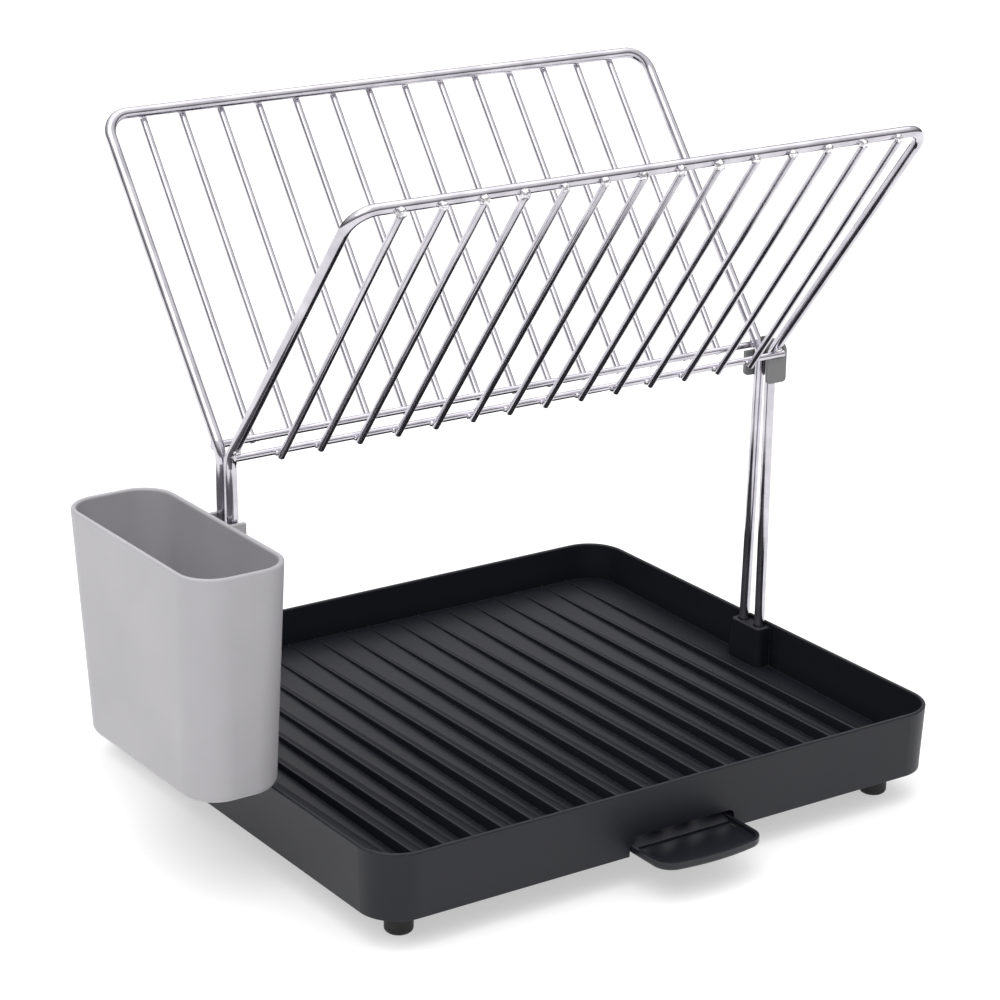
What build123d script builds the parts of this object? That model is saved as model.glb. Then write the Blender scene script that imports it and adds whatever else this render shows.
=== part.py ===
"""Dish drying rack: a ribbed drain tray, two slanted wire wings that stand in it, and a cutlery caddy.

Millimetres, +Z up, +X along the tray and +Y to the back. The tray's plan centre is the working centre,
and every finished piece is then shifted so that the whole rack stands on the origin, centred on it.
"""

import os
from math import atan2, cos, hypot, radians, sin, tan

from build123d import *

# Drain tray
tray_length = 360.0
tray_width = 318.0
tray_corner = 23.0
rim_height = 54.0
skirt_height = 17.0
tray_wall = 2.4
tray_draft = 3.0
floor_front = 25.6
floor_back = 32.0
floor_thickness = 2.4
rim_round = 1.1

# Drain ribs moulded in the tray floor
rib_count = 18
rib_pitch = 18.07
rib_slope_width = 16.0
rib_flank_width = 1.2
rib_root = 25.0
rib_crest = 33.0
rib_shift = -1.6
rib_front_gap = 6.0
rib_crest_round = 0.7

# Sockets for the legs, moulded in the tray's two ends
socket_top = 52.0
socket_bottom = 19.0
socket_margin = 5.3
socket_width = 30.0
socket_draft = 4.0
socket_corner = 4.0
socket_round = 1.2
socket_hole = 3.6
socket_hole_lean = 0.2
socket_floor = 26.0

# Feet
foot_radius = 7.5
foot_height = 12.0
foot_round = 2.5
foot_x = 154.4
foot_y = 134.0
foot_stem_radius = 3.5
foot_stem_length = 7.0
foot_stem_gap = 1.0
foot_boss_radius = 9.5
foot_fit = 0.05

# Pull-out spout, its gate in the front wall and its guides under the floor
spout_x = 4.5
spout_width = 66.0
spout_front = -188.5
spout_back = -118.0
spout_bottom = 18.5
spout_floor = 1.6
spout_base_round = 2.0
spout_inner_round = 1.2
spout_rim_top = 23.0
spout_wall = 1.8
spout_corner = 11.0
spout_bow = 4.0
spout_rim_back = -146.0
spout_flange = 3.0
spout_flange_front = -148.0
spout_travel = 18.0
gate_top = 27.8
gate_play = 0.7
gate_corner = 4.0
lip_front = -157.3
lip_back = -138.0
lip_overlap = 1.0
lip_gap = 0.4
lip_tip = 0.8
lip_play = 0.5
guide_wall = 2.0
guide_play = 0.5
guide_shelf = 4.0
guide_overrun = 4.0

# Wire wings
frame_wire = 6.0
rod_wire = 3.8
wire_end_round = 0.5
wing_x = 1.6
wing_half_length = 174.6
wing_reach = 123.2
wing_top = 366.0
bend_height = 215.0
bend_offset = 4.9
leg_foot_half_length = 172.2
leg_foot_offset = 7.2
leg_foot_height = 26.3
bend_radius = 16.0
corner_radius = 13.0
rail_x = 2.5
rail_half_length = 177.0
rail_along = 5.5
weld_sink = 0.3
rod_count = 14
rod_pitch = 23.3
rod_tail = 1.2
rod_head = 0.8

# Leg clip at the right-hand end
clip_gap = 9.0
clip_wall = 2.2
clip_inner = 169.4
clip_plate_inner = 180.1
clip_plate_outer = 182.4
clip_bottom = 199.5
clip_arm_top = 213.8
clip_top = 222.0
clip_round = 5.0

# Cutlery caddy, hung on the left-hand legs
caddy_rim_y = -7.8
caddy_base_y = -9.5
caddy_rim_height = 182.6
caddy_base_height = 60.5
caddy_inner_x = -178.0
caddy_rim_width = 58.2
caddy_rim_length = 145.5
caddy_base_width = 52.0
caddy_base_length = 129.0
caddy_base_inset = 2.0
caddy_corner = 19.7
caddy_wall = 3.0
caddy_base_round = 5.0
caddy_lip_round = 1.4
bracket_top = 181.0
bracket_height = 30.0
bracket_gap = 9.6
bracket_wall = 2.6
bracket_reach = 9.4

# Places worked out from the sizes above
end_slope = atan2(wing_top - bend_height, wing_reach - bend_offset)
spout_left = spout_x - spout_width / 2
spout_right = spout_x + spout_width / 2
x_low = caddy_inner_x - caddy_rim_width
x_high = clip_plate_outer
y_low = spout_front
y_high = tray_width / 2
shift = Location((-(x_low + x_high) / 2, -(y_low + y_high) / 2, 0))


def save(builder, name):
    """Shift a finished piece onto the common origin, label it and write it."""
    piece = builder.part.moved(shift)
    piece.label = name
    export_step(piece, f"parts/{name}.step")


def floor_at(y):
    """Height of the tray floor's top surface at a distance y from the tray's centre."""
    run = (y + tray_width / 2) / tray_width
    return floor_front + run * (floor_back - floor_front)


def tray_body(inset):
    """The tray's outer form, shrunk sideways by an inset, from the skirt's edge to the rim."""
    spread = 2 * (rim_height - skirt_height) * tan(radians(tray_draft))
    with BuildPart() as body:
        with BuildSketch(Plane.XY.offset(skirt_height)):
            RectangleRounded(
                tray_length - spread - 2 * inset,
                tray_width - spread - 2 * inset,
                tray_corner - spread / 2 - inset,
            )
        extrude(amount=rim_height - skirt_height, taper=-tray_draft)
    return body.part


def ribbed_floor(cavity):
    """The sloped floor with its saw-tooth ribs, cut to the inside of the tray walls."""
    half_width = tray_width / 2
    rib_start = -half_width + tray_wall + rib_front_gap
    with BuildPart() as floor:
        with BuildSketch(Plane.YZ.offset(-tray_length / 2)):
            Polygon(
                (-half_width, floor_front),
                (half_width, floor_back),
                (half_width, floor_back - floor_thickness),
                (-half_width, floor_front - floor_thickness),
                align=None,
            )
        extrude(amount=tray_length)
        with BuildSketch(Plane.XZ.offset(-rib_start)) as ribs:
            with Locations((rib_shift, 0)):
                with GridLocations(rib_pitch, 1, rib_count, 1):
                    Polygon((-rib_flank_width, rib_root), (0, rib_crest), (rib_slope_width, rib_root), align=None)
            fillet(ribs.vertices().group_by(Axis.Y)[-1], radius=rib_crest_round)
        extrude(amount=-(half_width - rib_start))
        with BuildSketch(Plane.YZ.offset(-tray_length / 2)):
            Polygon(
                (-half_width, floor_front - floor_thickness),
                (half_width, floor_back - floor_thickness),
                (half_width, 0),
                (-half_width, 0),
                align=None,
            )
        extrude(amount=tray_length, mode=Mode.SUBTRACT)
        add(cavity, mode=Mode.INTERSECT)
    return floor.part


def make_tray():
    """The drain tray: walls, ribbed floor, leg sockets, foot bosses, spout gate and guides."""
    cavity = tray_body(tray_wall)
    hole_x = leg_foot_half_length + socket_hole_lean
    hole_y = leg_foot_offset - socket_hole_lean
    with BuildPart() as tray:
        add(tray_body(0))
        add(cavity, mode=Mode.SUBTRACT)
        rim = tray.faces().sort_by(Axis.Z)[-1]
        fillet(rim.edges(), radius=rim_round)
        add(ribbed_floor(cavity))
        for side in (-1, 1):
            add(socket_block(side, cavity))
        with BuildSketch(Plane.XY.offset(socket_floor)):
            with Locations((wing_x, 0)):
                with GridLocations(2 * hole_x, 2 * hole_y, 2, 2):
                    Circle(socket_hole)
        extrude(amount=rim_height, mode=Mode.SUBTRACT)
        for y in (-foot_y, foot_y):
            with BuildSketch(Plane.XY.offset(foot_height)):
                with Locations((-foot_x, y), (foot_x, y)):
                    Circle(foot_boss_radius)
            extrude(amount=floor_at(y) - floor_thickness / 2 - foot_height)
        with BuildSketch(Plane.XY.offset(foot_height)):
            with GridLocations(2 * foot_x, 2 * foot_y, 2, 2):
                Circle(foot_stem_radius)
        extrude(amount=foot_stem_length, mode=Mode.SUBTRACT)
        add(gate_cut(), mode=Mode.SUBTRACT)
        add(outlet_lip())
        add(spout_guides())
    save(tray, "drain_tray")


def socket_block(side, cavity):
    """A drafted block inside one end wall, which the two legs stand in."""
    outer = tray_length / 2
    rise = socket_top - socket_bottom
    spread = rise * tan(radians(socket_draft))
    leg = wing_x + side * leg_foot_half_length
    depth = outer - side * leg + socket_margin + spread
    with BuildPart() as block:
        with BuildSketch(Plane.XY.offset(socket_bottom)):
            with Locations((side * outer, 0)):
                RectangleRounded(2 * depth, socket_width, socket_corner + spread / 2)
        extrude(amount=rise, taper=socket_draft)
        fillet(block.faces().sort_by(Axis.Z)[-1].edges(), radius=socket_round)
        add(cavity, mode=Mode.INTERSECT)
    return block.part


def gate_cut():
    """The opening in the front wall and floor edge that the spout and the outlet lip pass through."""
    width = spout_width + 2 * gate_play
    with BuildPart() as gate:
        with BuildSketch(Plane.XZ.offset(tray_width / 2)):
            with Locations((spout_x, gate_top - gate_corner - gate_play / 2)):
                RectangleRounded(width, 2 * gate_corner + gate_play, gate_corner)
            with Locations((spout_x, (gate_top - gate_corner) / 2)):
                Rectangle(width, gate_top - gate_corner)
        extrude(amount=-(tray_width / 2 + lip_back))
    return gate.part


def outlet_lip():
    """The sloped lip that carries water from the tray floor out onto the spout."""
    root = lip_back + lip_overlap
    high = floor_at(lip_back - lip_overlap)
    low = spout_bottom + spout_floor + lip_gap
    left = spout_left + spout_wall + lip_play
    width = spout_width - 2 * (spout_wall + lip_play)
    with BuildPart() as lip:
        with BuildSketch(Plane.YZ.offset(left)):
            Polygon(
                (root, high),
                (lip_front, low + lip_tip),
                (lip_front, low),
                (root, high - floor_thickness),
                align=None,
            )
        extrude(amount=width)
    return lip.part


def spout_guides():
    """Two L-shaped rails under the floor that carry the spout's side flanges."""
    shelf_top = spout_bottom - guide_play
    shelf_bottom = shelf_top - guide_wall
    reach = spout_width / 2 + spout_flange + guide_play
    ceiling = floor_front - floor_thickness / 2
    length = spout_back + spout_travel + guide_overrun - spout_flange_front + spout_flange
    middle = spout_flange_front - spout_flange + length / 2
    with BuildPart() as guides:
        with BuildSketch(Plane.XY.offset(shelf_bottom)):
            with Locations((spout_x, middle)):
                Rectangle(2 * (reach + guide_wall), length)
                Rectangle(2 * (reach - guide_shelf), length, mode=Mode.SUBTRACT)
        extrude(amount=guide_wall)
        with BuildSketch(Plane.XY.offset(shelf_bottom)):
            with Locations((spout_x, middle)):
                Rectangle(2 * (reach + guide_wall), length)
                Rectangle(2 * reach, length, mode=Mode.SUBTRACT)
        extrude(amount=ceiling - shelf_bottom)
    return guides.part


def make_spout():
    """The pull-out scoop: a rimmed mouth in front and a flanged tongue behind it."""
    mouth_length = spout_rim_back - spout_front
    corner_y = spout_front + spout_bow
    floor_top = spout_bottom + spout_floor
    with BuildPart() as spout:
        with BuildSketch(Plane.XY.offset(spout_bottom)) as outline:
            with BuildLine():
                Polyline(
                    (spout_left, corner_y),
                    (spout_left, spout_rim_back),
                    (spout_right, spout_rim_back),
                    (spout_right, corner_y),
                )
                ThreePointArc((spout_right, corner_y), (spout_x, spout_front), (spout_left, corner_y))
            make_face()
            fillet(outline.vertices().sort_by(Axis.Y)[:2], radius=spout_corner)
        extrude(amount=spout_rim_top - spout_bottom)
        base = spout.faces().sort_by(Axis.Z)[0].edges()
        fillet(base.sort_by(Axis.Y)[:-1], radius=spout_base_round)
        with BuildSketch(Plane.XY.offset(floor_top)):
            offset(outline.sketch.moved(Location((0, 0, -spout_bottom))), amount=-spout_wall)
            with Locations((spout_x, spout_rim_back - mouth_length / 4)):
                Rectangle(spout_width - 2 * spout_wall, mouth_length)
        extrude(amount=spout_rim_top, mode=Mode.SUBTRACT)
        inside = spout.faces().filter_by(Axis.Z).sort_by(Axis.Z)[1].edges()
        fillet(inside.sort_by(Axis.Y)[:-1], radius=spout_inner_round)
        with BuildSketch(Plane.XY.offset(spout_bottom)):
            with Locations((spout_x, (spout_back + spout_rim_back) / 2)):
                Rectangle(spout_width, spout_back - spout_rim_back)
            with Locations((spout_x, (spout_back + spout_flange_front) / 2)):
                Rectangle(spout_width + 2 * spout_flange, spout_back - spout_flange_front)
        extrude(amount=spout_floor)
    save(spout, "spout")


def make_feet():
    """Four rubber feet, each with a stem that plugs into its boss."""
    for name, x, y in (
        ("foot_front_left", -foot_x, -foot_y),
        ("foot_front_right", foot_x, -foot_y),
        ("foot_back_left", -foot_x, foot_y),
        ("foot_back_right", foot_x, foot_y),
    ):
        with BuildPart() as foot:
            with Locations((x, y, 0)):
                Cylinder(foot_radius, foot_height, align=(Align.CENTER, Align.CENTER, Align.MIN))
            fillet(foot.faces().sort_by(Axis.Z)[0].edges(), radius=foot_round)
            with Locations((x, y, foot_height)):
                Cylinder(
                    foot_stem_radius - foot_fit,
                    foot_stem_length - foot_stem_gap,
                    align=(Align.CENTER, Align.CENTER, Align.MIN),
                )
        save(foot, name)


def make_frame(name, side):
    """One wing's frame: a single thick wire, up one leg, round the wing and down the other leg."""
    with BuildPart() as frame:
        with BuildLine() as route:
            FilletPolyline(
                (wing_x - leg_foot_half_length, side * leg_foot_offset, leg_foot_height),
                (wing_x - wing_half_length, side * bend_offset, bend_height),
                (wing_x - wing_half_length, side * wing_reach, wing_top),
                (wing_x + wing_half_length, side * wing_reach, wing_top),
                (wing_x + wing_half_length, side * bend_offset, bend_height),
                (wing_x + leg_foot_half_length, side * leg_foot_offset, leg_foot_height),
                radius=[bend_radius, corner_radius, corner_radius, bend_radius],
            )
        with BuildSketch(Plane(origin=route.line @ 0, z_dir=route.line % 0)):
            Circle(frame_wire / 2)
        sweep()
    save(frame, name)


def rail_place():
    """Distance out from the middle and height of a bottom rail's axis."""
    lift = (frame_wire + rod_wire) / 2 - weld_sink
    out = bend_offset + rail_along * cos(end_slope) + lift * sin(end_slope)
    up = bend_height + rail_along * sin(end_slope) - lift * cos(end_slope)
    return out, up


def make_rail(name, side):
    """The thin rail welded across the outside of a wing's end bars, just above their bends."""
    out, up = rail_place()
    with BuildPart() as rail:
        with BuildSketch(Plane.YZ.offset(rail_x - rail_half_length)):
            with Locations((side * out, up)):
                Circle(rod_wire / 2)
        extrude(amount=2 * rail_half_length)
        fillet(rail.edges(), radius=wire_end_round)
    save(rail, name)


def make_rods(prefix, side):
    """The thin rods welded to the outside of a wing's rail and top bar."""
    out, up = rail_place()
    low_lift = rod_wire - weld_sink
    high_lift = (frame_wire + rod_wire) / 2 - weld_sink
    slope = atan2(wing_top - up, wing_reach - out)
    low = (out + low_lift * sin(slope), up - low_lift * cos(slope))
    high = (wing_reach + high_lift * sin(slope), wing_top - high_lift * cos(slope))
    length = hypot(high[0] - low[0], high[1] - low[1])
    along = ((high[0] - low[0]) / length, (high[1] - low[1]) / length)
    foot = (side * (low[0] - rod_tail * along[0]), low[1] - rod_tail * along[1])
    for index in range(rod_count):
        x = rail_x + (index - (rod_count - 1) / 2) * rod_pitch
        with BuildPart() as rod:
            with BuildSketch(Plane(origin=(x, *foot), z_dir=(0, side * along[0], along[1]))):
                Circle(rod_wire / 2)
            extrude(amount=rod_tail + length + rod_head)
            fillet(rod.edges().filter_by(GeomType.CIRCLE), radius=wire_end_round)
        save(rod, f"{prefix}_{index + 1:02d}")


def make_clip():
    """The U-shaped clip that holds the right-hand pair of legs together under their bends."""
    width = 2 * (clip_gap + clip_wall)
    with BuildPart() as clip:
        with BuildSketch(Plane.XY.offset(clip_bottom)):
            with Locations(((clip_inner + clip_plate_outer) / 2, 0)):
                Rectangle(clip_plate_outer - clip_inner, width)
            with Locations(((clip_inner + clip_plate_inner) / 2, 0)):
                Rectangle(clip_plate_inner - clip_inner, 2 * clip_gap, mode=Mode.SUBTRACT)
        extrude(amount=clip_arm_top - clip_bottom)
        with BuildSketch(Plane.YZ.offset(clip_plate_inner)):
            with Locations((0, (clip_arm_top + clip_top) / 2)):
                Rectangle(width, clip_top - clip_arm_top)
        extrude(amount=clip_plate_outer - clip_plate_inner)
        crown = clip.edges().filter_by(Axis.X).group_by(Axis.Z)[-1]
        fillet(crown, radius=clip_round)
        heels = clip.edges().filter_by(Axis.Y).group_by(Axis.Z)[0].group_by(Axis.X)
        fillet(heels[0] + heels[-1], radius=clip_wall)
    save(clip, "leg_clip")


def caddy_outline(centre, width, length, inset):
    """A rounded outline of the caddy, shrunk by an inset."""
    with BuildSketch(Plane(origin=centre)) as outline:
        RectangleRounded(width - 2 * inset, length - 2 * inset, caddy_corner - inset)
    return outline.sketch


def caddy_cup(floor, inset):
    """The tapered form of the caddy from a floor height up to the rim, shrunk sideways by an inset."""
    base = (caddy_inner_x - caddy_base_inset - caddy_base_width / 2, caddy_base_y, floor)
    rim = (caddy_inner_x - caddy_rim_width / 2, caddy_rim_y, caddy_rim_height)
    with BuildPart() as cup:
        add(caddy_outline(base, caddy_base_width, caddy_base_length, inset))
        add(caddy_outline(rim, caddy_rim_width, caddy_rim_length, inset))
        loft()
        fillet(cup.faces().sort_by(Axis.Z)[0].edges(), radius=caddy_base_round - inset)
    return cup.part


def make_caddy():
    """The tapered cutlery cup and the two arms that straddle the left-hand legs."""
    arm_x = caddy_inner_x + (bracket_reach - caddy_wall) / 2
    with BuildPart() as caddy:
        add(caddy_cup(caddy_base_height, 0))
        with BuildSketch(Plane.XY.offset(bracket_top - bracket_height)):
            with Locations((arm_x, 0)):
                with GridLocations(1, 2 * bracket_gap + bracket_wall, 1, 2):
                    Rectangle(bracket_reach + caddy_wall, bracket_wall)
        extrude(amount=bracket_height)
        add(caddy_cup(caddy_base_height + caddy_wall, caddy_wall), mode=Mode.SUBTRACT)
        lip = caddy.faces().filter_by(Axis.Z).sort_by(Axis.Z)[-1]
        fillet(lip.edges(), radius=caddy_lip_round)
    save(caddy, "cutlery_caddy")


def main():
    """Make every piece of the rack."""
    os.makedirs("parts", exist_ok=True)
    make_tray()
    make_spout()
    make_feet()
    for place, side in (("front", -1), ("back", 1)):
        make_frame(f"wing_frame_{place}", side)
        make_rail(f"wing_rail_{place}", side)
        make_rods(f"wing_rod_{place}", side)
    make_clip()
    make_caddy()


if __name__ == "__main__":
    main()
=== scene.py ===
"""Looks of the dish drying rack: its finishes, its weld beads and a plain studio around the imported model.

Lengths are metres and places are in the row's own frame: +X along the tray, +Y to the back, +Z up.
"""

import logging
import math
import random
from dataclasses import dataclass
from enum import Enum
from typing import Any, Mapping, Optional, Sequence, Union

import bmesh
import bpy
from mathutils import Matrix, Vector, noise


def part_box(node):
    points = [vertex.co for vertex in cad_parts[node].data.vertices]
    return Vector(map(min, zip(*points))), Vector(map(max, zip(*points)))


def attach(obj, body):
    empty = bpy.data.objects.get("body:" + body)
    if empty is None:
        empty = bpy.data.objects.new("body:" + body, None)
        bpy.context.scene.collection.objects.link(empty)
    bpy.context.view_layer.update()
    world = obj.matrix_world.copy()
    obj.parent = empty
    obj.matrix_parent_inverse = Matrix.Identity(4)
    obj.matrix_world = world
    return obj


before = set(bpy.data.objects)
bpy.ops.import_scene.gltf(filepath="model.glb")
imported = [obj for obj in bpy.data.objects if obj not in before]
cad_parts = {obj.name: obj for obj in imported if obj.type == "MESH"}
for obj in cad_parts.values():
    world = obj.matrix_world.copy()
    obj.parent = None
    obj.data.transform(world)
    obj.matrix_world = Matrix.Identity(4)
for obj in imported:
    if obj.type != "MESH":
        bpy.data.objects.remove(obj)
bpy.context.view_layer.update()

MM = 0.001
EDGE_START = 0.01
EDGE_FULL = 0.2
# Sheen kept in the painted shade of corners and grooves.
PAINTED_SHADE_SPECULAR = 0.04
LOG = logging.getLogger("dish_rack")
Colour = tuple[float, float, float]


# Shader tools


class Wire:
    """A shader socket that takes part in sums and products; each operation adds one Math node."""

    def __init__(self, bench: "NodeBench", socket: bpy.types.NodeSocket) -> None:
        """Keep the socket and the bench whose tree it belongs to."""
        self.bench = bench
        self.socket = socket

    def _math(self, operation: str, first: "Reading", second: "Reading") -> "Wire":
        """Add a Math node.

        Args:
            operation: The Math node's operation.
            first: Its upper value.
            second: Its lower value.

        Returns:
            The node's result.
        """
        return self.bench.add("ShaderNodeMath", {"operation": operation}, {0: first, 1: second})

    def __add__(self, other: "Reading") -> "Wire":
        """This value plus another."""
        return self._math("ADD", self, other)

    def __radd__(self, other: "Reading") -> "Wire":
        """Another value plus this one."""
        return self._math("ADD", other, self)

    def __sub__(self, other: "Reading") -> "Wire":
        """This value minus another."""
        return self._math("SUBTRACT", self, other)

    def __rsub__(self, other: "Reading") -> "Wire":
        """Another value minus this one."""
        return self._math("SUBTRACT", other, self)

    def __mul__(self, other: "Reading") -> "Wire":
        """This value times another."""
        return self._math("MULTIPLY", self, other)

    def __rmul__(self, other: "Reading") -> "Wire":
        """Another value times this one."""
        return self._math("MULTIPLY", other, self)


Reading = Union[Wire, float, Sequence[float]]


class NodeBench:
    """A node tree, and the one method that puts nodes into it."""

    def __init__(self, tree: bpy.types.NodeTree) -> None:
        """Take over a tree and empty it."""
        self.tree = tree
        self.tree.nodes.clear()

    def add(
        self,
        kind: str,
        settings: Optional[Mapping[str, Any]] = None,
        sockets: Optional[Mapping[Union[int, str], Reading]] = None,
        out: Union[int, str] = 0,
    ) -> Wire:
        """Add a node.

        Args:
            kind: The node's type.
            settings: Its properties, set first.
            sockets: Values or links of its inputs, by number, identifier or name.
            out: The output to hand back, by number, identifier or name.

        Returns:
            The chosen output.
        """
        node = self.tree.nodes.new(kind)
        for key, value in (settings or {}).items():
            setattr(node, key, value)
        for key, value in (sockets or {}).items():
            socket = self._find(node.inputs, key)
            if isinstance(value, Wire):
                self.tree.links.new(value.socket, socket)
            else:
                socket.default_value = value
        if not node.outputs:
            return Wire(self, None)
        return Wire(self, self._find(node.outputs, out))

    @staticmethod
    def _find(sockets: Any, key: Union[int, str]) -> bpy.types.NodeSocket:
        """Find a socket.

        Args:
            sockets: A node's inputs or outputs.
            key: Its number, identifier or name.

        Returns:
            The socket.
        """
        if isinstance(key, int):
            return sockets[key]
        for socket in sockets:
            if socket.identifier == key:
                return socket
        return sockets[key]

    def place(self) -> Wire:
        """Where a shaded point is on its piece, in metres."""
        return self.add("ShaderNodeTexCoord", out="Object")

    def grain(self, at: Reading, size: float, detail: float = 2.0, roughness: float = 0.5) -> Wire:
        """Fine noise.

        Args:
            at: The point it is read at.
            size: How far apart its spots are, in metres.
            detail: How many finer layers it has.
            roughness: How strong those layers are.

        Returns:
            A value around one half.
        """
        values = {"Vector": at, "Scale": 1 / size, "Detail": detail, "Roughness": roughness}
        return self.add("ShaderNodeTexNoise", sockets=values)

    def spread(self, value: Reading, low: float, high: float, to_low: float, to_high: float) -> Wire:
        """Stretch a value from one range to another, and hold it inside the new one.

        Args:
            value: The value.
            low: The start of the range it comes in.
            high: The end of that range.
            to_low: What the start becomes.
            to_high: What the end becomes.

        Returns:
            The stretched value.
        """
        numbers = {"Value": value, "From Min": low, "From Max": high, "To Min": to_low, "To Max": to_high}
        return self.add("ShaderNodeMapRange", {"clamp": True}, numbers)

    def tint(self, factor: Reading, first: Reading, second: Reading) -> Wire:
        """Blend two colours.

        Args:
            factor: 0 for the first and 1 for the second.
            first: A colour.
            second: Another colour.

        Returns:
            The blend.
        """
        ends = [value if isinstance(value, Wire) else (*value, 1.0) for value in (first, second)]
        numbers = {"Factor_Float": factor, "A_Color": ends[0], "B_Color": ends[1]}
        return self.add("ShaderNodeMix", {"data_type": "RGBA"}, numbers, out="Result_Color")

    def edges(self, width: float) -> Wire:
        """How near a shaded point is to a sharp edge.

        Args:
            width: How wide the edge zone is, in metres.

        Returns:
            0 on flat stretches, rising at edges.
        """
        soft = self.add("ShaderNodeBevel", {"samples": 4}, {"Radius": width})
        true = self.add("ShaderNodeNewGeometry", out="Normal")
        same = self.add("ShaderNodeVectorMath", {"operation": "DOT_PRODUCT"}, {0: soft, 1: true}, out="Value")
        return self.spread(1 - same, EDGE_START, EDGE_FULL, 0.0, 1.0)

    def openness(self, reach: float) -> Wire:
        """How open the space above a shaded point is.

        Args:
            reach: How far it looks for other surfaces, in metres.

        Returns:
            1 on open faces, falling in corners and grooves.
        """
        return self.add("ShaderNodeAmbientOcclusion", {"samples": 8}, {"Distance": reach}, out="AO")

    def relief(self, height: Reading, depth: float) -> Wire:
        """A surface relief.

        Args:
            height: Its height, from 0 to 1.
            depth: What a height of 1 measures, in metres.

        Returns:
            The bent normal.
        """
        return self.add("ShaderNodeBump", sockets={"Strength": 1.0, "Distance": depth, "Height": height})


# Finishes


@dataclass(frozen=True)
class Finish:
    """What every finish of the rack shares."""

    name: str

    def bench(self) -> tuple[bpy.types.Material, NodeBench]:
        """A new material of this finish's name, and the bench for its nodes."""
        material = bpy.data.materials.new(self.name)
        material.use_nodes = True
        return material, NodeBench(material.node_tree)

    @staticmethod
    def close(bench: NodeBench, values: Mapping[str, Reading], painted_shade: Optional[Wire] = None) -> None:
        """End a material with its surface shader.

        Args:
            bench: The material's bench.
            values: The shader's sockets.
            painted_shade: Painted shade, from 0 to 1: where the sheen is swapped for a near matt copy in
                corners and grooves, if anywhere.
        """
        shader = bench.add("ShaderNodeBsdfPrincipled", sockets=values)
        # Painted shade: a copy with hardly any sheen is mixed in where the factor is high, so corners and
        # grooves come out darker.
        if painted_shade is not None:
            painted_shade_values = {**values, "Specular IOR Level": PAINTED_SHADE_SPECULAR}
            painted_shade_shader = bench.add("ShaderNodeBsdfPrincipled", sockets=painted_shade_values)
            shader = bench.add("ShaderNodeMixShader", sockets={0: painted_shade, 1: shader, 2: painted_shade_shader})
        bench.add("ShaderNodeOutputMaterial", sockets={"Surface": shader})


@dataclass(frozen=True)
class MouldedPlastic(Finish):
    """Injection-moulded plastic with a spark-eroded grain, faint flow marks, edges lightened partly by wear
    and partly as painted highlight, and painted shade in corners where asked.
    """

    colour: Colour
    # Edge colour: partly rubbed wear, partly painted highlight.
    rubbed_and_highlight: Colour
    roughness: float
    grain_size: float = 0.7 * MM
    grain_depth: float = 0.012 * MM
    specular: float = 0.5
    # Reach of the painted shade in corners and grooves, in metres; 0 for none.
    painted_shade_reach: float = 0.0
    flow_size: float = 60 * MM
    flow_shade: float = 0.86
    speck_size: float = 2.5 * MM
    edge_width: float = 0.7 * MM
    edge_wear_and_highlight: float = 0.6

    def make(self) -> bpy.types.Material:
        """Build the material.

        Returns:
            The material.
        """
        material, bench = self.bench()
        at = bench.place()
        fine = bench.grain(at, self.grain_size, detail=3.0, roughness=0.6)
        flow = bench.grain(at, self.flow_size, detail=4.0)
        specks = bench.grain(at, self.speck_size, detail=1.0)
        # Edges turn lighter: partly wear, partly a painted highlight on rims and rib crests.
        edge = bench.edges(self.edge_width) * bench.spread(specks, 0.35, 0.6, 0.35, 1.0)
        deep = tuple(self.flow_shade * part for part in self.colour)
        body = bench.tint(bench.spread(flow + 0.3 * fine, 0.4, 0.9, 0.0, 1.0), deep, self.colour)
        shine = self.roughness + 0.16 * (fine - 0.5) + 0.1 * (flow - 0.5) - 0.08 * edge
        values = {
            "Base Color": bench.tint(self.edge_wear_and_highlight * edge, body, self.rubbed_and_highlight),
            "Roughness": shine,
            "Normal": bench.relief(fine, self.grain_depth),
            "Specular IOR Level": self.specular,
        }
        # Painted shade: the sheen fades where the space above is closed in, at corners and rib roots.
        painted_shade = None
        if self.painted_shade_reach:
            painted_shade = bench.spread(bench.openness(self.painted_shade_reach), 0.4, 0.95, 1.0, 0.0)
        self.close(bench, values, painted_shade)
        return material


@dataclass(frozen=True)
class FootRubber(Finish):
    """Black rubber with a dusty bloom and scuffed edges."""

    colour: Colour = (0.006, 0.006, 0.007)
    bloom: Colour = (0.03, 0.03, 0.031)
    roughness: float = 0.6
    pore_size: float = 0.5 * MM
    pore_depth: float = 0.03 * MM
    dust_size: float = 6 * MM
    edge_width: float = 0.8 * MM

    def make(self) -> bpy.types.Material:
        """Build the material.

        Returns:
            The material.
        """
        material, bench = self.bench()
        at = bench.place()
        pores = bench.grain(at, self.pore_size, detail=4.0, roughness=0.7)
        dust = bench.grain(at, self.dust_size, detail=3.0)
        dusty = bench.spread(dust, 0.45, 0.75, 0.0, 0.5) + 0.4 * bench.edges(self.edge_width)
        values = {
            "Base Color": bench.tint(dusty, self.colour, self.bloom),
            "Roughness": self.roughness + 0.3 * (pores - 0.5) + 0.15 * dusty,
            "Normal": bench.relief(pores, self.pore_depth),
        }
        self.close(bench, values)
        return material


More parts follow.
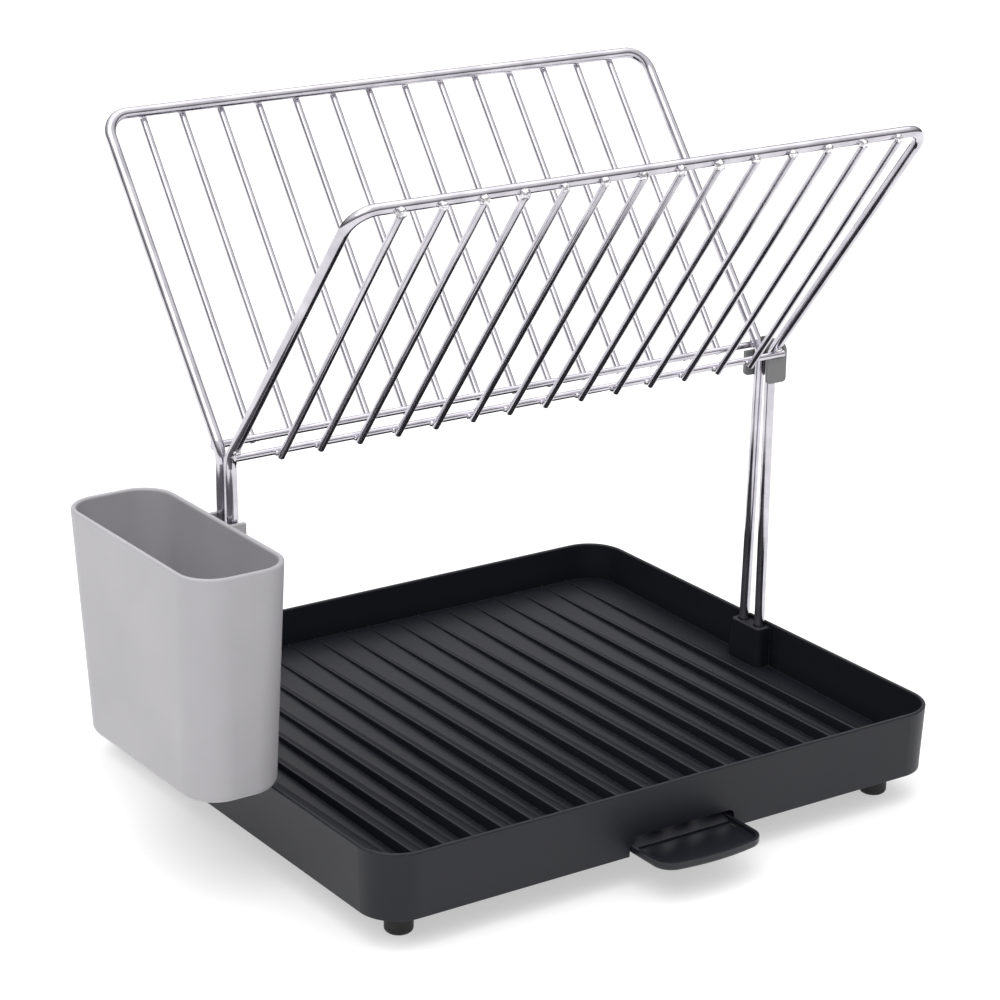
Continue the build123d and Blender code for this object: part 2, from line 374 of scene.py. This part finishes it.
@dataclass(frozen=True)
class PolishedSteel(Finish):
    """Polished stainless wire with faint draw lines along it."""

    along: Colour = (0.0, 0.0, 0.0)
    colour: Colour = (0.63, 0.61, 0.66)
    shade: Colour = (0.47, 0.455, 0.5)
    roughness: float = 0.13
    line_size: float = 0.35 * MM
    line_stretch: float = 0.96
    line_depth: float = 0.0016 * MM
    smear_size: float = 14 * MM
    pit_size: float = 1.1 * MM

    def make(self) -> bpy.types.Material:
        """Build the material.

        Returns:
            The material.
        """
        material, bench = self.bench()
        at = bench.place()
        lines = bench.grain(self._drawn(bench, at), self.line_size, detail=2.0)
        smears = bench.grain(at, self.smear_size, detail=3.0)
        pits = bench.grain(at, self.pit_size, detail=2.0)
        clean = bench.spread(smears, 0.35, 0.7, 0.0, 1.0)
        values = {
            "Base Color": bench.tint(clean, self.shade, self.colour),
            "Metallic": 1.0,
            "Roughness": self.roughness + 0.1 * (lines - 0.5) + 0.12 * (smears - 0.5),
            "Normal": bench.relief(lines + 0.5 * pits, self.line_depth),
        }
        self.close(bench, values)
        return material

    def _drawn(self, bench: NodeBench, at: Wire) -> Wire:
        """Squeeze space along the wire, so that spots become lines.

        Args:
            bench: The material's bench.
            at: The shaded point.

        Returns:
            The squeezed point.
        """
        axis = {0: at, 1: self.along}
        run = bench.add("ShaderNodeVectorMath", {"operation": "DOT_PRODUCT"}, axis, out="Value")
        back = {0: self.along, "Scale": run * self.line_stretch}
        slack = bench.add("ShaderNodeVectorMath", {"operation": "SCALE"}, back)
        return bench.add("ShaderNodeVectorMath", {"operation": "SUBTRACT"}, {0: at, 1: slack})


@dataclass(frozen=True)
class WeldMetal(Finish):
    """Bright, lumpy weld metal with darker craters."""

    colour: Colour = (0.8, 0.79, 0.81)
    crater: Colour = (0.3, 0.29, 0.32)
    roughness: float = 0.26
    lump_size: float = 0.9 * MM
    lump_depth: float = 0.12 * MM
    pit_size: float = 1.6 * MM

    def make(self) -> bpy.types.Material:
        """Build the material.

        Returns:
            The material.
        """
        material, bench = self.bench()
        at = bench.place()
        lumps = bench.grain(at, self.lump_size, detail=3.0, roughness=0.65)
        pits = bench.grain(at, self.pit_size, detail=1.0)
        burnt = bench.spread(pits, 0.3, 0.48, 1.0, 0.0)
        values = {
            "Base Color": bench.tint(burnt, self.colour, self.crater),
            "Metallic": 1.0,
            "Roughness": self.roughness + 0.3 * (lumps - 0.5) + 0.15 * burnt,
            "Normal": bench.relief(lumps, self.lump_depth),
        }
        self.close(bench, values)
        return material


@dataclass(frozen=True)
class StudioPaper(Finish):
    """White backdrop paper that glows a little, so that shadows on it stay pale."""

    colour: Colour = (0.56, 0.56, 0.56)
    glow: float = 0.5
    fibre_size: float = 3 * MM
    fibre_shade: float = 0.99
    roughness: float = 0.95

    def make(self) -> bpy.types.Material:
        """Build the material.

        Returns:
            The material.
        """
        material, bench = self.bench()
        fibres = bench.grain(bench.place(), self.fibre_size, detail=3.0)
        darker = tuple(self.fibre_shade * part for part in self.colour)
        values = {
            "Base Color": bench.tint(fibres, darker, self.colour),
            "Roughness": self.roughness,
            "Specular IOR Level": 0.0,
            "Emission Color": (1.0, 1.0, 1.0, 1.0),
            "Emission Strength": self.glow,
        }
        self.close(bench, values)
        return material


# Helpers for pieces


def dress(node: str, material: bpy.types.Material) -> None:
    """Give a CAD node its material.

    Args:
        node: The node's name.
        material: The material for all of its faces.
    """
    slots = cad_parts[node].data.materials
    slots.clear()
    slots.append(material)
    LOG.info("dressed %s in %s", node, material.name)


def add_piece(name: str, mesh: bmesh.types.BMesh, body: str, material: bpy.types.Material) -> None:
    """Make a smooth-shaded piece that rides on a body.

    Args:
        name: The piece's name.
        mesh: Its mesh, which is freed here.
        body: The body it rides on.
        material: Its material.
    """
    data = bpy.data.meshes.new(name)
    mesh.to_mesh(data)
    mesh.free()
    data.materials.append(material)
    data.polygons.foreach_set("use_smooth", [True] * len(data.polygons))
    piece = bpy.data.objects.new(name, data)
    bpy.context.scene.collection.objects.link(piece)
    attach(piece, body)
    LOG.info("made %s with %d vertices", name, len(data.vertices))


@dataclass(frozen=True)
class WeldBead:
    """One lump of weld metal: swollen by noise, and by spurs around its length if it has points."""

    centre: Vector
    along: Vector
    width: float
    length: float
    points: int = 0
    swell_low: float = 0.22
    swell_fine: float = 0.1
    spur: float = 0.24

    def pour(self, mesh: bmesh.types.BMesh, seed: float, fineness: int) -> None:
        """Add the lump to a mesh.

        Args:
            mesh: The mesh that takes it.
            seed: Moves the lump to its own stretch of the noise.
            fineness: How many times its sphere is divided.
        """
        turn = self.along.to_track_quat("Z", "X").to_matrix()
        made = bmesh.ops.create_icosphere(mesh, subdivisions=fineness, radius=1.0)
        for vertex in made["verts"]:
            ray = vertex.co.normalized()
            swell = 1 + self.swell_low * noise.noise(2.1 * ray + Vector((seed, 0, 0)))
            swell += self.swell_fine * noise.noise(5.3 * ray + Vector((0, seed, 0)))
            if self.points:
                spoke = math.cos(self.points * math.atan2(ray.y, ray.x) + seed)
                swell += self.spur * max(spoke, 0.0) ** 3 * (1 - abs(ray.z))
            sized = Vector((ray.x * self.width, ray.y * self.width, ray.z * self.length)) * swell / 2
            vertex.co = self.centre + turn @ sized


# Sub-assemblies


class Side(Enum):
    """Which wing: its name in node names, and its direction along Y."""

    FRONT = ("front", -1)
    BACK = ("back", 1)

    @property
    def label(self) -> str:
        """The word in this wing's node names."""
        return self.value[0]

    @property
    def sign(self) -> int:
        """-1 for the front and 1 for the back."""
        return self.value[1]


@dataclass
class DrainTray:
    """The drain tray and its four feet."""

    feet: tuple[str, ...] = ("foot_front_left", "foot_front_right", "foot_back_left", "foot_back_right")
    # Painted shade: the tray's plastic loses its sheen in corners and between the ribs.
    plastic: MouldedPlastic = MouldedPlastic(
        name="tray_plastic", colour=(0.0085, 0.0092, 0.0138), rubbed_and_highlight=(0.09, 0.092, 0.102), roughness=0.46,
        specular=0.33, painted_shade_reach=11 * MM,
    )
    rubber: FootRubber = FootRubber(name="foot_rubber")

    def build(self) -> None:
        """Dress the tray and its feet."""
        dress("drain_tray", self.plastic.make())
        rubber = self.rubber.make()
        for foot in self.feet:
            dress(foot, rubber)


@dataclass
class Spout:
    """The pull-out spout."""

    plastic: MouldedPlastic = MouldedPlastic(
        name="spout_plastic", colour=(0.01, 0.0108, 0.0155), rubbed_and_highlight=(0.06, 0.062, 0.07), roughness=0.33,
        specular=0.4,
        grain_depth=0.006 * MM,
    )

    def build(self) -> None:
        """Dress the spout."""
        dress("spout", self.plastic.make())


@dataclass
class LegClip:
    """The clip on the right-hand legs."""

    plastic: MouldedPlastic = MouldedPlastic(
        name="clip_plastic", colour=(0.2, 0.2, 0.205), rubbed_and_highlight=(0.34, 0.34, 0.35), roughness=0.4
    )

    def build(self) -> None:
        """Dress the clip."""
        dress("leg_clip", self.plastic.make())


@dataclass
class CutleryCaddy:
    """The cutlery caddy on the left-hand legs."""

    plastic: MouldedPlastic = MouldedPlastic(
        name="caddy_plastic", colour=(0.43, 0.42, 0.44), rubbed_and_highlight=(0.5, 0.49, 0.51), roughness=0.42,
        grain_size=0.6 * MM, grain_depth=0.008 * MM,
    )

    def build(self) -> None:
        """Dress the caddy."""
        dress("cutlery_caddy", self.plastic.make())


@dataclass
class Wing:
    """One wire wing: its frame, rail and rods, and the weld beads that join them."""

    side: Side
    rod_count: int = 14
    tip_width: float = 4.7 * MM
    tip_length: float = 6.4 * MM
    cross_width: float = 2.3 * MM
    cross_length: float = 3.4 * MM
    end_width: float = 3.2 * MM
    end_length: float = 4.8 * MM
    bar_radius: float = 3.0 * MM
    tip_points: int = 5
    tip_sink: float = 0.3
    tip_back: float = 0.4 * MM
    slope_rounds: int = 12

    def __post_init__(self) -> None:
        """Read the places of the wires from the frame."""
        label = self.side.label
        self.body = f"wing_{label}"
        self.frame_node = f"wing_frame_{label}"
        self.rail_node = f"wing_rail_{label}"
        self.rod_nodes = [f"wing_rod_{label}_{number:02d}" for number in range(1, self.rod_count + 1)]
        self.random = random.Random(self.side.sign)
        low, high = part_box(self.rail_node)
        self.rail_axis = (low + high) / 2
        self.rod_radius = (high.z - low.z) / 2
        self.rod_along = self._rod_direction()
        self.out = Vector((0, self.side.sign * self.rod_along.z, -abs(self.rod_along.y)))

    def _rod_direction(self) -> Vector:
        """Work out the direction of the slanted rods from a rod's box.

        Returns:
            The direction from a rod's lower end to its upper end.
        """
        low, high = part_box(self.rod_nodes[0])
        size = high - low
        slope = math.atan2(size.z, size.y)
        for _ in range(self.slope_rounds):
            rise = size.z - 2 * self.rod_radius * math.cos(slope)
            run = size.y - 2 * self.rod_radius * math.sin(slope)
            slope = math.atan2(rise, run)
        return Vector((0, self.side.sign * math.cos(slope), math.sin(slope)))

    def _rod_tip(self, node: str) -> Vector:
        """The middle of a rod's upper end.

        Args:
            node: The rod's node.

        Returns:
            The point.
        """
        low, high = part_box(node)
        outer = low.y if self.side is Side.FRONT else high.y
        along = self.rod_along
        return Vector(
            (
                (low.x + high.x) / 2,
                outer - self.side.sign * self.rod_radius * along.z,
                high.z - self.rod_radius * abs(along.y),
            )
        )

    def _rod_crossing(self, node: str) -> Vector:
        """Where a rod's axis passes the rail.

        Args:
            node: The rod's node.

        Returns:
            The point on the rod's axis nearest the rail.
        """
        tip = self._rod_tip(node)
        rail = Vector((tip.x, self.rail_axis.y, self.rail_axis.z))
        return tip + (rail - tip).dot(self.rod_along) * self.rod_along

    def _tip_beads(self) -> list[WeldBead]:
        """The rough beads over the rods' upper ends."""
        beads = []
        for node in self.rod_nodes:
            sunk = self.tip_sink * self.rod_radius * self.out
            middle = self._rod_tip(node) - sunk - self.tip_back * self.rod_along
            lean = self.rod_along + 0.15 * Vector((self.random.uniform(-1, 1), 0, 0))
            size = self.random.uniform(0.92, 1.1)
            width, length = size * self.tip_width, size * self.tip_length
            beads.append(WeldBead(middle, lean, width, length, points=self.tip_points))
        return beads

    def _crossing_beads(self) -> list[WeldBead]:
        """The small beads beside each rod where it crosses the rail."""
        beads = []
        for node in self.rod_nodes:
            cross = self._rod_crossing(node) - self.rod_radius * self.out
            for step in (-1, 1):
                shift = Vector((step * (self.rod_radius + 0.1 * MM), 0, 0))
                size = self.random.uniform(0.8, 1.15)
                width, length = size * self.cross_width, size * self.cross_length
                beads.append(WeldBead(cross + shift, self.rod_along, width, length))
        return beads

    def _end_beads(self) -> list[WeldBead]:
        """The beads above and below the rail where it lies on the frame's two end bars."""
        low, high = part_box(self.frame_node)
        beads = []
        for x in (low.x + self.bar_radius, high.x - self.bar_radius):
            contact = Vector((x, self.rail_axis.y, self.rail_axis.z)) - self.rod_radius * self.out
            for step in (-1, 1):
                place = contact + step * self.rod_radius * self.rod_along
                size = self.random.uniform(0.9, 1.1)
                width, length = size * self.end_width, size * self.end_length
                beads.append(WeldBead(place, Vector((1, 0, 0)), width, length))
        return beads

    def _pour(self, name: str, beads: Sequence[WeldBead], fineness: int, metal: bpy.types.Material) -> None:
        """Make one piece of several beads.

        Args:
            name: The piece's name.
            beads: Its beads.
            fineness: How finely each is divided.
            metal: Their material.
        """
        mesh = bmesh.new()
        for index, bead in enumerate(beads):
            bead.pour(mesh, seed=17.3 * (index + 1) + 5 * self.side.sign, fineness=fineness)
        add_piece(f"{name}_{self.side.label}", mesh, self.body, metal)

    def build(self, weld: bpy.types.Material) -> None:
        """Dress the wires and pour the beads.

        Args:
            weld: The beads' material.
        """
        label = self.side.label
        dress(self.frame_node, PolishedSteel(name=f"steel_frame_{label}").make())
        dress(self.rail_node, PolishedSteel(name=f"steel_rail_{label}", along=(1.0, 0.0, 0.0)).make())
        rods = PolishedSteel(name=f"steel_rods_{label}", along=tuple(self.rod_along)).make()
        for node in self.rod_nodes:
            dress(node, rods)
        self._pour("weld_tips", self._tip_beads(), 3, weld)
        self._pour("weld_crossings", self._crossing_beads(), 2, weld)
        self._pour("weld_ends", self._end_beads(), 2, weld)


# Studio


@dataclass
class Studio:
    """White paper, a sky that is dark at the horizon, two wide soft lights and the camera."""

    azimuth: float = -34.48
    elevation: float = 19.09
    roll: float = 0.74
    lens: float = 112.3
    distance: float = 1.607
    aim: Colour = (-0.019, -0.0454, 0.1849)
    floor_reach: float = 14.0
    sky_low: float = 0.16
    sky_high: float = 1.1
    sky_turn: tuple[float, float] = (0.2, 0.65)

    def build(self) -> None:
        """Set up the whole studio."""
        self._camera()
        self._floor()
        self._sky()
        self._sun("key_light", azimuth=-60.0, elevation=62.0, power=1.1, width=50.0)
        self._sun("top_light", azimuth=140.0, elevation=70.0, power=0.8, width=70.0)
        bpy.context.scene.view_settings.view_transform = "Standard"

    def _camera(self) -> None:
        """Place the camera on its circle round the rack, tipped a little about its line of sight."""
        turn, lift = math.radians(self.azimuth), math.radians(self.elevation)
        back = Vector((math.sin(turn) * math.cos(lift), -math.cos(turn) * math.cos(lift), math.sin(lift)))
        lens = bpy.data.cameras.new("camera")
        lens.lens = self.lens
        lens.clip_end = 4 * self.floor_reach
        camera = bpy.data.objects.new("camera", lens)
        camera.rotation_mode = "QUATERNION"
        camera.location = Vector(self.aim) + self.distance * back
        tip = Matrix.Rotation(math.radians(self.roll), 4, back).to_quaternion()
        camera.rotation_quaternion = tip @ (-back).to_track_quat("-Z", "Y")
        bpy.context.scene.collection.objects.link(camera)
        bpy.context.scene.camera = camera

    def _floor(self) -> None:
        """Lay the paper."""
        mesh = bmesh.new()
        bmesh.ops.create_circle(mesh, cap_ends=True, segments=96, radius=self.floor_reach)
        data = bpy.data.meshes.new("studio_floor")
        mesh.to_mesh(data)
        mesh.free()
        data.materials.append(StudioPaper(name="studio_paper").make())
        floor = bpy.data.objects.new("studio_floor", data)
        bpy.context.scene.collection.objects.link(floor)

    def _sky(self) -> None:
        """Soft light from all round, brighter from above."""
        world = bpy.data.worlds.new("studio_sky")
        bpy.context.scene.world = world
        world.use_nodes = True
        bench = NodeBench(world.node_tree)
        place = bench.add("ShaderNodeTexCoord", out="Generated")
        height = bench.add("ShaderNodeSeparateXYZ", sockets={"Vector": place}, out="Z")
        glow = bench.spread(height, *self.sky_turn, self.sky_low, self.sky_high)
        light = bench.add("ShaderNodeBackground", sockets={"Color": (1.0, 1.0, 1.0, 1.0), "Strength": glow})
        bench.add("ShaderNodeOutputWorld", sockets={"Surface": light})

    def _sun(self, name: str, azimuth: float, elevation: float, power: float, width: float) -> None:
        """Add a large, even light far away.

        Args:
            name: The light's name.
            azimuth: Where it stands, in degrees from the front and towards +X.
            elevation: How high it stands, in degrees.
            power: Its strength.
            width: How wide it looks, in degrees.
        """
        turn, lift = math.radians(azimuth), math.radians(elevation)
        towards = Vector((math.sin(turn) * math.cos(lift), -math.cos(turn) * math.cos(lift), math.sin(lift)))
        data = bpy.data.lights.new(name, "SUN")
        data.energy = power
        data.angle = math.radians(width)
        lamp = bpy.data.objects.new(name, data)
        lamp.rotation_mode = "QUATERNION"
        lamp.rotation_quaternion = (-towards).to_track_quat("-Z", "Y")
        bpy.context.scene.collection.objects.link(lamp)


def main() -> None:
    """Build the rack's looks and the studio."""
    logging.basicConfig(level=logging.INFO, format="%(name)s: %(message)s")
    Studio().build()
    DrainTray().build()
    Spout().build()
    LegClip().build()
    CutleryCaddy().build()
    weld = WeldMetal(name="weld_metal").make()
    for side in Side:
        Wing(side).build(weld)


if __name__ == "__main__":
    main()
